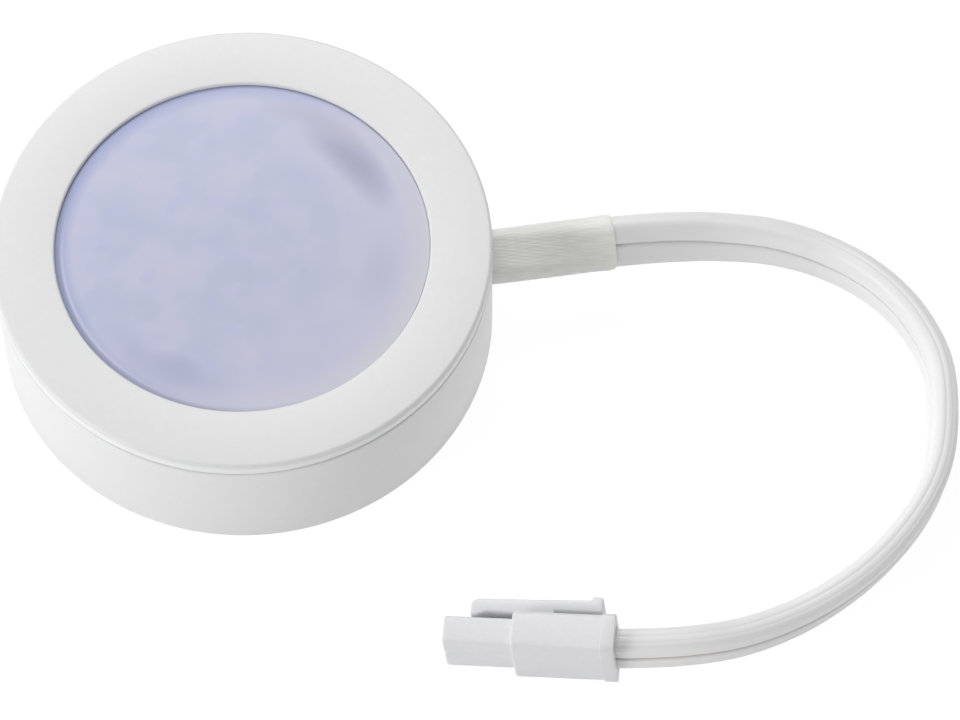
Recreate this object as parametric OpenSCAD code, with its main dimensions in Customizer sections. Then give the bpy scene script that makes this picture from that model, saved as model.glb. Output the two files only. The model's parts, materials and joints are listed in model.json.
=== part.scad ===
// LED puck light: a frosted light head that sits in a surface-mount ring,
// with a short flat twin lead in a braided sleeve and a two-way latching plug.
// Millimetres. Origin at the centre of the ring's back face, +Z towards the lens.

/* [Head] */
// Outer diameter of the bezel and the mount ring
head_d = 70; // [68:0.5:84]
// Height of the face above the mounting surface
head_h = 21.25; // [20.5:0.25:30]
// Thickness of the bezel's flange
flange_t = 1.8; // [1.4:0.1:2.4]
// Rounding of the bezel's outer edge
edge_r = 0.5; // [0.2:0.05:0.8]
// Width of the bezel's face
face_w = 8.65; // [8:0.05:12]

/* [Lens] */
// Width of the lens's rim under the bezel
lens_rim = 1.25; // [0.8:0.05:1.6]
// Thickness of the lens
lens_t = 2; // [1.5:0.1:3]
// Depth of the lens below the face
lens_recess = 0.6; // [0.4:0.05:1]
// Thickness of the gasket under the lens
gasket_t = 0.8; // [0.5:0.1:1.5]

/* [Mount ring] */
// Wall of the mount ring
ring_wall = 2; // [1.5:0.1:2.2]
// Thickness of the mount ring's floor
ring_floor = 1.8; // [1.5:0.1:2]
// Width of the mount ring's floor, from its outer edge to its opening
ring_floor_w = 15; // [13:0.5:20]
// Distance from the ring's outer edge to the centre of a screw hole
screw_inset = 8; // [7:0.25:9]
// Diameter of a mounting screw hole
screw_hole_d = 3.8; // [3:0.1:4.5]
// Number of mounting screw holes
screw_holes = 3; // [2:1:4]

/* [Housing] */
// Wall of the die-cast housing
housing_wall = 1.7; // [1.4:0.1:2]
// Thickness of the housing's floor
housing_floor = 3; // [2:0.1:3.4]
// Space between the ring's floor and the housing
back_gap = 1.2; // [0.8:0.1:1.6]
// Thickness of a cooling fin
fin_t = 1; // [0.7:0.1:1.6]
// Number of cooling fins round a full circle
fin_count = 48; // [24:1:60]

/* [Light engine] */
// Distance from the housing's wall to the LED board
board_gap = 4.8; // [4.6:0.1:6.3]
// Thickness of the LED board
board_t = 1.6; // [1:0.1:2]
// Thickness of the thermal pad
pad_t = 0.5; // [0.3:0.1:1]
// Number of LEDs on the outer circle
led_count = 8; // [4:1:9]
// Distance from the reflector's foot in to the outer circle of LEDs
led_inset = 4.3; // [3.6:0.1:5]
// Wall of the reflector
reflector_t = 0.9; // [0.6:0.1:1.2]

/* [Lead] */
// Direction of the lead's outlet round the head, in degrees
cord_az = 8.3; // [0:0.1:16]
// Height of the lead's outlet
cord_z = 8.5; // [8.3:0.1:9]
// Width of the flat twin cord
cord_w = 7.2; // [6:0.1:7.4]
// Thickness of the flat twin cord
cord_t = 3.6; // [3:0.1:3.8]
// Wall of the braided sleeve
sleeve_t = 0.5; // [0.3:0.05:0.6]
// Length of the braided sleeve outside the head
sleeve_out = 17.9; // [11:0.1:19]

/* [Plug] */
// Length of the plug's main block
plug_l = 14.3; // [13:0.1:18]
// Depth of the plug's main block
plug_w = 5.7; // [5.4:0.1:6.6]
// Height of the plug's main block
plug_h = 10.5; // [9.6:0.1:11.2]
// Length of the two silos
silo_l = 9.5; // [8:0.1:11]
// Depth of a silo
silo_w = 4.1; // [3.6:0.1:4.6]
// Distance between the two circuits
pitch = 4.2; // [4:0.1:4.5]
// Distance from the block to the tail of the latch lever
lever_gap = 1.6; // [1.4:0.1:2.6]
// Thickness of the latch lever
lever_t = 1.3; // [1:0.1:1.6]
// Width of the latch lever
lever_w = 6; // [4:0.1:7]

/* [Hidden] */
$fn = 96;

// Clearances
lens_gap = 0.15;
skirt_gap = 0.05;
clip_gap = 0.1;
fin_gap = 0.6;
lug_gap = 0.15;
screw_gap = 0.1;
sleeve_gap = 0.1;
slot_gap = 0.3;
contact_gap = 0.1;
terminal_gap = 0.15;

// Heights, from the mounting surface up
flange_z = head_h - flange_t;
lens_top = head_h - lens_recess;
lens_z = lens_top - lens_t;
gasket_z = lens_z - gasket_t;
housing_z = ring_floor + back_gap;
bay_z = housing_z + housing_floor;
board_z = bay_z + pad_t;
parts_z = board_z + board_t;

// Radii, from the lens out to the ring
head_r = head_d / 2;
opening_r = head_r - face_w;
lens_r = opening_r + lens_rim;
seat_r = lens_r + lens_gap;
skirt_t = 1.5;
skirt_h = 4.4;
skirt_r = seat_r + skirt_t;
bay_r = skirt_r + skirt_gap;
housing_r = bay_r + housing_wall;
board_r = bay_r - board_gap;
bore_r = head_r - ring_wall;
fin_r = bore_r - fin_gap;
edge_cut = 0.25;

// Snap lugs of the bezel, each in a window of the housing
lug_count = 3;
lug_turn = cord_az + 30;
lug_angle = 10;
lug_z = flange_z - 3.6;
lug_h = 1.4;
lug_out = 0.9;

// Spring clips
clip_count = 3;
clip_turn = cord_az + 60;
clip_w = 6;
clip_t = 0.4;
clip_pad_r = housing_r + 0.2;
clip_pad_w = clip_w + 2;
clip_top = flange_z - 2.2;
clip_foot = housing_z + 1.2;
clip_bow_z = (clip_top + clip_foot) / 2 - 0.6;
clip_bow_r = sqrt(pow(bore_r - clip_gap, 2) - pow(clip_w / 2, 2)) - clip_t;
rivet_r = 1;
rivet_head_r = 1.5;
rivet_head_t = 0.45;
rivet_z = clip_top - 2;

// Board screws and what they pass through
board_screw_r = 1.25;
board_screw_count = 3;
board_screw_circle = board_r - 2.4;
screw_head_r = 1.9;
screw_head_t = 1.3;

// Reflector, which leaves the board's rim free for the small parts, and LEDs in step with their circle
rim_room = 8;
cone_foot_r = board_r - rim_room;
foot_h = 0.3;
cone_rim_r = lens_r - 2.6;
led_circle_r = cone_foot_r - led_inset;
led_hole_r = 0.205 * led_circle_r;
inner_leds = 4;
inner_circle_r = 0.45 * led_circle_r;
led_size = [0.287 * led_circle_r, 0.23 * led_circle_r, 0.7];

// Small parts on the board's rim
parts_r = board_r - 2.9;
bridge_size = [3.6, 4.6, 1.4];
bridge_lead = [0.9, 0.6, 0.4];
driver_size = [3.2, 4.2, 1.3];
driver_lead = [0.8, 0.35, 0.35];
driver_pitch = 1;
stand_off = 0.15;
fuse_size = [2.2, 5.6, 1.6];
varistor_size = [3, 4.4, 1.7];
resistor_size = [1.3, 2, 0.6];

// Cord clamp
clamp_r = bay_r - 3.3;
clamp_depth = 3.6;
clamp_t = 1.7;
clamp_end = 1.6;
clamp_bite = 2.6;
clamp_gap = 0.5;
clamp_head_r = 1.7;
clamp_head_t = 1.1;
post_side = cord_w / 2 + 2.6;
post_r = 1.9;
post_bore_r = 1.1;
cord_top = cord_z + cord_t / 2;
cord_end_r = board_r + 0.3;
lead_r = 0.95;
lead_side = cord_w / 4;
lead_z = parts_z + lead_r + 0.15;
terminal_out = board_r - 0.5;
terminal_size = [3.8, cord_w - 1.2, 2.7];

// Braided sleeve: it starts in the housing's wall and turns with the cord
sleeve_start = bay_r + 0.3;
sleeve_l = head_r + sleeve_out - sleeve_start;
sleeve_roll = 50;
sleeve_steps = 6;
sleeve_w = cord_w + 2 * sleeve_t + 2 * sleeve_gap - 0.2;
sleeve_h = cord_t + 2 * sleeve_t + 2 * sleeve_gap - 0.1;

// Point where the lead comes out of the head's wall, at table height
outlet = [cos(cord_az), sin(cord_az), 0];
wall_at = head_r * outlet;

// Plug: the point at the middle of its shoulder, its direction and its tilt
plug_at = wall_at + [3.3, -59.2, 5.25];
plug_yaw = 174.6;
plug_tilt = 5.5;
mouth_depth = 3.5;
mouth_gap = 0.15;
silo_gap = 0.25;
contact_w = 2.5;
contact_l = 6.8;
lever_slant = 0.5;
lever_rear = 2.1;
lever_nose = 6.1;

// Lead: points from the clamp to the plug, each with the cord's roll in degrees
plug_dir = [cos(plug_tilt) * cos(plug_yaw), cos(plug_tilt) * sin(plug_yaw), -sin(plug_tilt)];
cord_start = [
    for (r = [cord_end_r, for (k = [0:sleeve_steps]) sleeve_start + sleeve_l * k / sleeve_steps])
        [each (r * outlet + [0, 0, cord_z]), roll_at(r)]
];
cord_way = [
    [25.4, 3.8, 7.6, 55], [32.9, 4.7, 6.1, 64], [40.9, 4.5, 4.9, 72], [48.4, 2.5, 3.9, 79],
    [54.9, -1.6, 3.9, 83], [60.1, -7.4, 3.8, 85], [63.4, -14.9, 3.8, 85], [63.9, -23.1, 3.9, 83],
    [62.9, -31.1, 3.8, 84], [59.9, -38.1, 3.8, 84], [55, -44.7, 3.8, 83], [49.3, -50, 3.8, 84],
    [42.4, -54.5, 3.9, 87], [34.8, -58, 4.9, 89], [26.9, -60, 6.2, 90]
];
cord_run = [for (p = cord_way) p + [wall_at[0], wall_at[1], 0, 0]];
cord_end = [
    for (back = [plug_l + 1, plug_l - mouth_depth])
        [each (plug_at - back * plug_dir), 90]
];
cord_points = concat(cord_start, cord_run, cord_end);

// Roll of the cord at a distance from the axis: flat in the clamp, turned at the sleeve's end
function roll_at(r) = sleeve_roll * max(0, r - sleeve_start) / sleeve_l;

// Point of a smooth curve between b and c, with a and d as their neighbours
function blend(a, b, c, d, t) =
    b + 0.5 * t * ((c - a) + t * ((2 * a - 5 * b + 4 * c - d) + t * (3 * (b - c) + d - a)));

// Rings of the cord: its straight start and end as given, and between them a smooth curve in steps
function smooth(p, straight, steps) = [
    for (i = [0:straight - 1]) p[i],
    for (i = [straight:len(p) - 3], k = [0:steps - 1])
        blend(p[i - 1], p[i], p[i + 1], p[i + 2], k / steps),
    p[len(p) - 2],
    p[len(p) - 1]
];

function xyz(p) = [p[0], p[1], p[2]];
function unit(v) = v / norm(v);

// Section of the flat cord: u across its width, v through its thickness
cord_section = [
    for (corner = [
        [0.5, 0.25], [0.39, 0.5], [0, 0.36], [-0.39, 0.5], [-0.5, 0.25],
        [-0.5, -0.25], [-0.39, -0.5], [0, -0.36], [0.39, -0.5], [0.5, -0.25]
    ]) [corner[0] * cord_w, corner[1] * cord_t]
];

// One ring of points round the cord, square to the way it runs
function ring_of(p, i) =
    let (run = unit(xyz(p[min(i + 1, len(p) - 1)]) - xyz(p[max(i - 1, 0)])))
    let (side = unit(cross([0, 0, 1], run)))
    let (up = cross(run, side))
    let (wide = side * cos(p[i][3]) + up * sin(p[i][3]))
    let (thick = cross(run, wide))
    [for (c = cord_section) xyz(p[i]) + c[0] * wide + c[1] * thick];

function arc(centre, r, from, to, steps = 8) =
    [for (i = [0:steps]) centre + r * [cos(from + (to - from) * i / steps), sin(from + (to - from) * i / steps)]];

// A flat outline with round corners, centred
module rounded(size, r) {
    square([size[0] - 2 * r, size[1]], center = true);
    square([size[0], size[1] - 2 * r], center = true);
    for (x = [-1, 1], y = [-1, 1])
        translate([x * (size[0] / 2 - r), y * (size[1] / 2 - r)]) circle(r, $fn = 24);
}

// Children repeated round the axis
module around(count, turn = 0) {
    for (i = [0:count - 1]) rotate(turn + i * 360 / count) children();
}

// A pan-head screw with a cross recess, its head's underside at z = 0
module screw(r, length, head_r, head_t) {
    translate([0, 0, -length]) cylinder(r = r, h = length, $fn = 32);
    difference() {
        rotate_extrude($fn = 32)
            polygon([[0, 0], [head_r, 0], [head_r, head_t * 0.55], [head_r * 0.7, head_t], [0, head_t]]);
        for (a = [0, 90])
            rotate(a) translate([0, 0, head_t]) cube([head_r * 1.2, 0.45, head_t], center = true);
    }
}

module mount_ring() {
    color("white") difference() {
        rotate_extrude() polygon([
            [head_r - ring_floor_w, 0], [head_r - edge_cut, 0], [head_r, edge_cut],
            [head_r, flange_z - edge_cut], [head_r - edge_cut, flange_z],
            [bore_r + edge_cut, flange_z], [bore_r, flange_z - edge_cut],
            [bore_r, ring_floor], [head_r - ring_floor_w, ring_floor]
        ]);
        around(screw_holes, cord_az + 60) translate([head_r - screw_inset, 0, 0]) {
            translate([0, 0, -1]) cylinder(d = screw_hole_d, h = ring_floor + 2);
            translate([0, 0, ring_floor - 0.8])
                cylinder(d1 = screw_hole_d, d2 = screw_hole_d + 3.2, h = 1.6);
        }
        rotate(cord_az) outlet_slot(bore_r - 1, head_r + 1, head_h);
    }
}

// The U-shaped way that the sleeve takes through a wall, open upwards
module outlet_slot(from, to, top) {
    low = cord_z - sleeve_h / 2 - slot_gap - 0.4;
    translate([from, -sleeve_w / 2 - slot_gap, low])
        cube([to - from, sleeve_w + 2 * slot_gap, top - low]);
}

module housing() {
    hole_w = sleeve_w + 0.4;
    hole_h = sleeve_h + 0.6;
    color("silver") difference() {
        union() {
            rotate_extrude() polygon([
                [0, housing_z], [housing_r - 0.8, housing_z], [housing_r, housing_z + 0.8],
                [housing_r, flange_z], [bay_r, flange_z], [bay_r, bay_z], [0, bay_z]
            ]);
            for (i = [0:fin_count - 1]) if (fin_stands(i * 360 / fin_count))
                rotate(cord_az + i * 360 / fin_count) fin();
            around(clip_count, clip_turn)
                translate([housing_r - 1, -clip_pad_w / 2, clip_foot])
                    cube([clip_pad_r - housing_r + 1, clip_pad_w, clip_top - clip_foot]);
            rotate(cord_az) for (side = [-1, 1]) translate([clamp_r, side * post_side, bay_z - 0.5])
                cylinder(r = post_r, h = cord_top - bay_z + 0.5);
            rotate(cord_az) translate([cord_end_r, -cord_w / 2, bay_z - 0.5])
                cube([bay_r - cord_end_r - 0.5, cord_w, cord_z - cord_t / 2 - bay_z + 0.5]);
        }
        rotate(cord_az) {
            for (side = [-1, 1]) translate([bay_r - 1, side * (hole_w - hole_h) / 2, cord_z])
                rotate([0, 90, 0]) cylinder(d = hole_h, h = housing_wall + 4);
            translate([bay_r - 1, -(hole_w - hole_h) / 2, cord_z - hole_h / 2])
                cube([housing_wall + 4, hole_w - hole_h, hole_h]);
            for (side = [-1, 1]) translate([clamp_r, side * post_side, bay_z])
                cylinder(r = post_bore_r, h = head_h);
        }
        around(board_screw_count, clip_turn) translate([board_screw_circle, 0, bay_z - 2])
            cylinder(r = board_screw_r, h = 5);
        around(clip_count, clip_turn) translate([bay_r - 1, 0, rivet_z])
            rotate([0, 90, 0]) cylinder(r = rivet_r, h = 5);
        around(lug_count, lug_turn - lug_angle / 2 - 0.5)
            rotate_extrude(angle = lug_angle + 1)
                translate([bay_r - 0.5, lug_z - lug_gap]) square([housing_wall + 3, lug_h + 2 * lug_gap]);
    }
}

// One cooling fin, its top and foot sloped back to the wall
module fin() {
    foot = housing_z + 1.5;
    top = clip_top - 0.4;
    slope = fin_r - housing_r;
    rotate([90, 0, 0]) translate([0, 0, -fin_t / 2]) linear_extrude(fin_t) polygon([
        [housing_r - 0.4, foot], [housing_r, foot], [fin_r, foot + slope],
        [fin_r, top - slope], [housing_r, top], [housing_r - 0.4, top]
    ]);
}

// A fin is left out where a clip, a lug's window or the lead's outlet needs the room
fin_room = 13;
clip_step = 360 / clip_count;
function off_step(a, at) = abs((a - at + 1.5 * clip_step) % clip_step - clip_step / 2);
function fin_stands(a) =
    a > fin_room && a < 360 - fin_room
    && off_step(a, clip_step / 2) > fin_room && off_step(a, lug_turn - cord_az) > lug_angle / 2 + 2.5;

module spring_clips() {
    path = [
        [clip_pad_r, clip_top], [clip_pad_r, rivet_z - 2], [clip_bow_r - 0.1, clip_bow_z + 1],
        [clip_bow_r, clip_bow_z], [clip_bow_r - 0.1, clip_bow_z - 1], [clip_pad_r, clip_foot]
    ];
    last = len(path) - 1;
    color("lightgrey") around(clip_count, clip_turn) difference() {
        rotate([90, 0, 0]) translate([0, 0, -clip_w / 2]) linear_extrude(clip_w) polygon(concat(
            path, [for (i = [last:-1:0]) path[i] + [clip_t, 0]]
        ));
        translate([clip_pad_r - 1, 0, rivet_z]) rotate([0, 90, 0]) cylinder(r = rivet_r, h = 3);
    }
}

module clip_rivets() {
    color("silver") around(clip_count, clip_turn) translate([clip_pad_r + clip_t, 0, rivet_z])
        rotate([0, 90, 0]) {
            translate([0, 0, -1.6]) cylinder(r = rivet_r, h = 1.6);
            rotate_extrude() polygon([
                [0, 0], [rivet_head_r, 0], [rivet_head_r - 0.3, rivet_head_t], [0, rivet_head_t]
            ]);
        }
}

module thermal_pad() {
    color("lightsteelblue") translate([0, 0, bay_z]) difference() {
        cylinder(r = board_r - 0.5, h = pad_t);
        board_holes(0.2);
    }
}

module board_holes(extra) {
    around(board_screw_count, clip_turn) translate([board_screw_circle, 0, -1])
        cylinder(r = board_screw_r + screw_gap + extra, h = board_t + 3);
}

module led_board() {
    color("white") translate([0, 0, board_z]) difference() {
        cylinder(r = board_r, h = board_t);
        board_holes(0);
    }
}

// Places of the LEDs, as angle and radius
led_places = concat(
    [for (i = [0:inner_leds - 1]) [i * 360 / inner_leds, inner_circle_r]],
    [for (i = [0:led_count - 1]) [(i + 0.5) * 360 / led_count, led_circle_r]]
);

module led_chips() {
    color("khaki") for (p = led_places) rotate(p[0]) translate([p[1], 0, parts_z + led_size[2] / 2])
        cube(led_size, center = true);
}

// A small part on the board's rim, by angle from the lead's outlet and distance from the axis
module on_board(angle, r = parts_r) {
    rotate(cord_az + angle) translate([r, 0, parts_z]) children();
}

module block(size) {
    translate([-size[0] / 2, -size[1] / 2, 0]) cube(size);
}

module bridge_rectifier() {
    color("dimgrey") on_board(90) {
        translate([0, 0, stand_off]) block(bridge_size);
        for (x = [-0.5, 0.5], y = [-0.3, 0.3])
            translate([x * (bridge_size[0] + stand_off), y * bridge_size[1], 0]) block(bridge_lead);
    }
}

module driver_chips() {
    color("dimgrey") for (a = [115, 139]) on_board(a) {
        translate([0, 0, stand_off]) block(driver_size);
        for (x = [-0.5, 0.5], y = [-1.5:1.5])
            translate([x * (driver_size[0] + stand_off), y * driver_pitch, 0]) block(driver_lead);
    }
}

module fuse() {
    color("tan") on_board(30) block(fuse_size);
}

module surge_varistor() {
    color("royalblue") on_board(-32) block(varistor_size);
}

module chip_resistors() {
    color("black") for (a = [202, 212, 222, 262, 272, 282]) on_board(a) block(resistor_size);
}

module wire_terminal() {
    color("ivory") on_board(0, terminal_out - terminal_size[0] / 2) difference() {
        block(terminal_size);
        for (side = [-1, 1]) translate([0, side * lead_side, lead_z - parts_z])
            rotate([0, 90, 0]) cylinder(r = lead_r + 0.05, h = terminal_size[0]);
    }
}

module lead_wires() {
    color("white") rotate(cord_az) for (side = [-1, 1])
        translate([terminal_out - 1.8, side * lead_side, lead_z])
            rotate([0, 90, 0]) cylinder(r = lead_r, h = cord_end_r - terminal_out + 1.8, $fn = 32);
}

module board_screws() {
    color("silver") around(board_screw_count, clip_turn)
        translate([board_screw_circle, 0, parts_z])
            screw(board_screw_r, pad_t + board_t + 1.8, screw_head_r, screw_head_t);
}

module reflector() {
    foot_z = parts_z + foot_h;
    floor_t = 0.8;
    color("snow") difference() {
        union() {
            rotate_extrude() polygon([
                [0, foot_z], [cone_foot_r + reflector_t, foot_z],
                [cone_rim_r + reflector_t, gasket_z - floor_t], [lens_r, gasket_z - floor_t],
                [lens_r, gasket_z], [cone_rim_r, gasket_z],
                [cone_foot_r, foot_z + floor_t], [0, foot_z + floor_t]
            ]);
            around(3, clip_turn) translate([cone_foot_r - 0.7, 0, parts_z])
                cylinder(r = 0.8, h = foot_h + 0.2);
        }
        for (p = led_places) rotate(p[0]) translate([p[1], 0, foot_z - 1])
            cylinder(r = led_hole_r, h = floor_t + 2);
        lead_room();
    }
}

module lens_gasket() {
    color("dimgrey") translate([0, 0, gasket_z]) difference() {
        cylinder(r = lens_r, h = gasket_t);
        translate([0, 0, -1]) cylinder(r = lens_r - 1.6, h = gasket_t + 2);
    }
}

module lens() {
    color("lavender") rotate_extrude() polygon([
        [0, lens_z], [lens_r, lens_z], [lens_r, lens_top], [0, lens_top]
    ]);
}

module bezel() {
    inner_cut = 0.3;
    color("white") difference() {
        union() {
            rotate_extrude() polygon(concat(
                [
                    [opening_r, lens_top], [opening_r, head_h - inner_cut],
                    [opening_r + inner_cut, head_h]
                ],
                arc([head_r - edge_r, head_h - edge_r], edge_r, 90, 0),
                [
                    [head_r, flange_z + edge_cut], [head_r - edge_cut, flange_z],
                    [skirt_r, flange_z], [skirt_r, flange_z - skirt_h],
                    [seat_r, flange_z - skirt_h], [seat_r, lens_top]
                ]
            ));
            around(lug_count, lug_turn - lug_angle / 2) rotate_extrude(angle = lug_angle) polygon([
                [skirt_r - 0.3, lug_z], [skirt_r, lug_z], [skirt_r + lug_out, lug_z + lug_h],
                [skirt_r - 0.3, lug_z + lug_h]
            ]);
        }
        lead_room();
    }
}

// The room that the terminal, the cord clamp and its screws keep free under the reflector and the bezel
module lead_room() {
    room_w = 2 * (post_side + clamp_end + clamp_gap);
    rotate(cord_az) translate([clamp_r - clamp_depth / 2 - clamp_gap, -room_w / 2, bay_z])
        cube([head_r - clamp_r, room_w, cord_top + clamp_t + clamp_head_t + clamp_gap - bay_z]);
    on_board(0, terminal_out - terminal_size[0] / 2) block(terminal_size + terminal_gap * [2, 2, 1]);
}

module cord_clamp() {
    color("snow") rotate(cord_az) translate([clamp_r, 0, cord_top]) difference() {
        translate([0, 0, clamp_t / 2]) rotate([0, 0, 90]) linear_extrude(clamp_t, center = true)
            rounded([2 * (post_side + clamp_end), clamp_depth], 1.2);
        for (side = [-1, 1]) translate([0, side * post_side, -1])
            cylinder(r = post_bore_r + screw_gap, h = clamp_t + 2);
    }
}

module clamp_screws() {
    color("silver") rotate(cord_az) for (side = [-1, 1])
        translate([clamp_r, side * post_side, cord_top + clamp_t])
            screw(post_bore_r, clamp_t + clamp_bite, clamp_head_r, clamp_head_t);
}

// Outline of the sleeve with the cord's way through it
module sleeve_outline() {
    difference() {
        rounded([sleeve_h, sleeve_w], sleeve_h / 2 - 0.1);
        rounded([cord_t + 2 * sleeve_gap, cord_w + 2 * sleeve_gap], cord_t / 4);
    }
}

module sleeve() {
    color("lightgrey") rotate(cord_az) translate([sleeve_start, 0, cord_z]) rotate([0, 90, 0])
        linear_extrude(sleeve_l, twist = -sleeve_roll, slices = sleeve_steps, $fn = 24) sleeve_outline();
}

module cord() {
    straight = len(cord_start) - 1;
    p = smooth(cord_points, straight, 2);
    sides = len(cord_section);
    last = len(p) - 1;
    points = [
        for (i = [0:last]) each ring_of(p, i),
        xyz(p[0]), xyz(p[last])
    ];
    start_cap = len(points) - 2;
    end_cap = len(points) - 1;
    faces = [
        for (i = [0:last - 1], k = [0:sides - 1])
            each [
                [i * sides + k, i * sides + (k + 1) % sides, (i + 1) * sides + k],
                [(i + 1) * sides + k, i * sides + (k + 1) % sides, (i + 1) * sides + (k + 1) % sides]
            ],
        for (k = [0:sides - 1]) [start_cap, (k + 1) % sides, k],
        for (k = [0:sides - 1]) [end_cap, last * sides + k, last * sides + (k + 1) % sides]
    ];
    color("white") polyhedron(points, faces);
}

// The plug's own frame: +X towards its mating end, the latch on the -Y side
module in_plug() {
    translate(plug_at) rotate([0, plug_tilt, plug_yaw]) children();
}

// The latch lever, joined to the block by its stem and slanted a little towards its nose
module plug_latch() {
    out = plug_w / 2 + lever_gap;
    top = out + lever_t;
    in = out - lever_slant;
    tip = top - lever_slant;
    rear = -plug_l + lever_rear;
    root = 0.4 - plug_w / 2;
    translate([0, 0, -lever_w / 2]) linear_extrude(lever_w) polygon([
        [-5.5, root], [-5.5, -out], [rear, -out], [rear, -top - 0.3], [rear + 0.4, -top - 0.5],
        [rear + 1.4, -top - 0.5], [rear + 1.8, -top], [lever_nose - 0.8, -tip], [lever_nose, -tip + 0.7],
        [lever_nose, -in + 0.7], [lever_nose - 0.6, -in + 0.7], [lever_nose - 1.9, -in], [-1, -in],
        [-0.4, root]
    ]);
}

module plug_housing() {
    silo_h = pitch - silo_gap;
    color("white") in_plug() difference() {
        union() {
            rotate([0, -90, 0]) linear_extrude(plug_l) rounded([plug_h, plug_w], 0.9);
            translate([-plug_l, 0, 0]) rotate([0, 90, 0]) linear_extrude(1.6)
                rounded([plug_h + 0.3, plug_w + 0.3], 1);
            for (side = [-1, 1]) translate([-1, 0, side * pitch / 2]) rotate([0, 90, 0])
                linear_extrude(silo_l + 1) rounded([silo_h, silo_w], side > 0 ? 0.4 : 0.9);
            plug_latch();
        }
        for (side = [-1, 1]) translate([-plug_l - 1, -contact_w / 2, side * pitch / 2 - contact_w / 2])
            cube([plug_l + silo_l + 2, contact_w, contact_w]);
        translate([-plug_l - 1, -cord_t / 2 - mouth_gap, -cord_w / 2 - mouth_gap])
            cube([mouth_depth + 1, cord_t + 2 * mouth_gap, cord_w + 2 * mouth_gap]);
    }
}

module plug_contacts() {
    box_w = contact_w - 2 * contact_gap;
    wall = 0.3;
    rear = -plug_l + mouth_depth;
    front = silo_l - 1;
    color("gold") in_plug() for (side = [-1, 1]) translate([0, 0, side * pitch / 2]) {
        difference() {
            translate([front - contact_l, -box_w / 2, -box_w / 2]) cube([contact_l, box_w, box_w]);
            translate([front - contact_l + 0.8, -box_w / 2 + wall, -box_w / 2 + wall])
                cube([contact_l, box_w - 2 * wall, box_w - 2 * wall]);
        }
        translate([rear, 0, 0]) rotate([0, 90, 0]) cylinder(r = 0.95, h = front - contact_l - rear + 0.2);
    }
}

mount_ring();
housing();
spring_clips();
clip_rivets();
thermal_pad();
led_board();
led_chips();
bridge_rectifier();
driver_chips();
fuse();
surge_varistor();
chip_resistors();
wire_terminal();
board_screws();
reflector();
lens_gasket();
lens();
bezel();
cord_clamp();
clamp_screws();
lead_wires();
sleeve();
cord();
plug_housing();
plug_contacts();
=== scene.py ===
# %% [markdown]
# # A puck light on a white table
# The object is a small round LED light that is fixed under a shelf. Its head sits in a white ring, and a
# flat twin cord leaves it through a braided sleeve and ends in a two-way plug. The solid model gives every
# piece its size and place. This file adds what the eye sees: rounded edges, the cord's lobes and ribs, the
# braid, and a finish for every surface.

# %% Load the solid model as a fixed frame
import json
import math

import bpy
import numpy as np
from mathutils import Matrix, Vector


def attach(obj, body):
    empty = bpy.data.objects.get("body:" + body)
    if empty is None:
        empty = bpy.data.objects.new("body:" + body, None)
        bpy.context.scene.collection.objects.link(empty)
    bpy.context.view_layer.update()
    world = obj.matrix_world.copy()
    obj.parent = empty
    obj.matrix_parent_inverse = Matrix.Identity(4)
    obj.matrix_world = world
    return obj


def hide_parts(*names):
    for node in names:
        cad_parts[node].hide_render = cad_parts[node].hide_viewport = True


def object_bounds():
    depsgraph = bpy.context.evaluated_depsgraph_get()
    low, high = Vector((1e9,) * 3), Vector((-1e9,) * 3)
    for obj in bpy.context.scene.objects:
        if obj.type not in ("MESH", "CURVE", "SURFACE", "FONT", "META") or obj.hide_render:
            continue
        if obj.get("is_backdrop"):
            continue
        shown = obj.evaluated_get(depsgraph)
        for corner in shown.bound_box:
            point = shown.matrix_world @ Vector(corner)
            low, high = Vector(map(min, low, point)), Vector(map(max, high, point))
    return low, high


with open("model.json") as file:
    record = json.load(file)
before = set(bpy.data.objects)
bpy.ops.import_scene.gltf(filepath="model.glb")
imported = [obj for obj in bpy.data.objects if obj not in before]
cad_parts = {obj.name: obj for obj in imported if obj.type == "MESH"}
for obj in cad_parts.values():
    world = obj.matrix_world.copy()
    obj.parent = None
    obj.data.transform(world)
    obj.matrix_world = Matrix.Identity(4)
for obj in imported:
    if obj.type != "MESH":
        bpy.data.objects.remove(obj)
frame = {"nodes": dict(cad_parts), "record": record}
cad_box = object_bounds()
MM = 0.001
print("nodes:", sorted(frame["nodes"]))

# %% [markdown]
# ## Camera
# The photo was taken from 62 degrees above the table with a long lens. The two rims of the head are ellipses
# whose shapes fix that angle, and the long lens is why the drum hardly narrows towards the back.

# %% Camera
CAMERA_ELEVATION = 61.7
FOCAL_PX = 5291
PHOTO_WIDTH_PX = 960
SENSOR_MM = 36
CAMERA_AT = Vector((33.24, -365.09, 665.12)) * MM

camera_data = bpy.data.cameras.new("camera")
camera_data.sensor_width = SENSOR_MM
camera_data.lens = FOCAL_PX * SENSOR_MM / PHOTO_WIDTH_PX
camera_data.clip_start = 0.01
camera = bpy.data.objects.new("camera", camera_data)
camera.location = CAMERA_AT
camera.rotation_euler = (math.radians(90 - CAMERA_ELEVATION), 0, 0)
bpy.context.scene.collection.objects.link(camera)
bpy.context.scene.camera = camera
print("lens", round(camera_data.lens, 1), "mm")

# %% [markdown]
# ## Sizes shared with the solid model
# The route of the cord is the list of points that the solid cord follows, in millimetres from where it
# leaves the head's wall, with the roll of its flat section in degrees. It lies flat in its clamp, turns as
# it comes out of the sleeve and then runs on its edge along the table.

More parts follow.
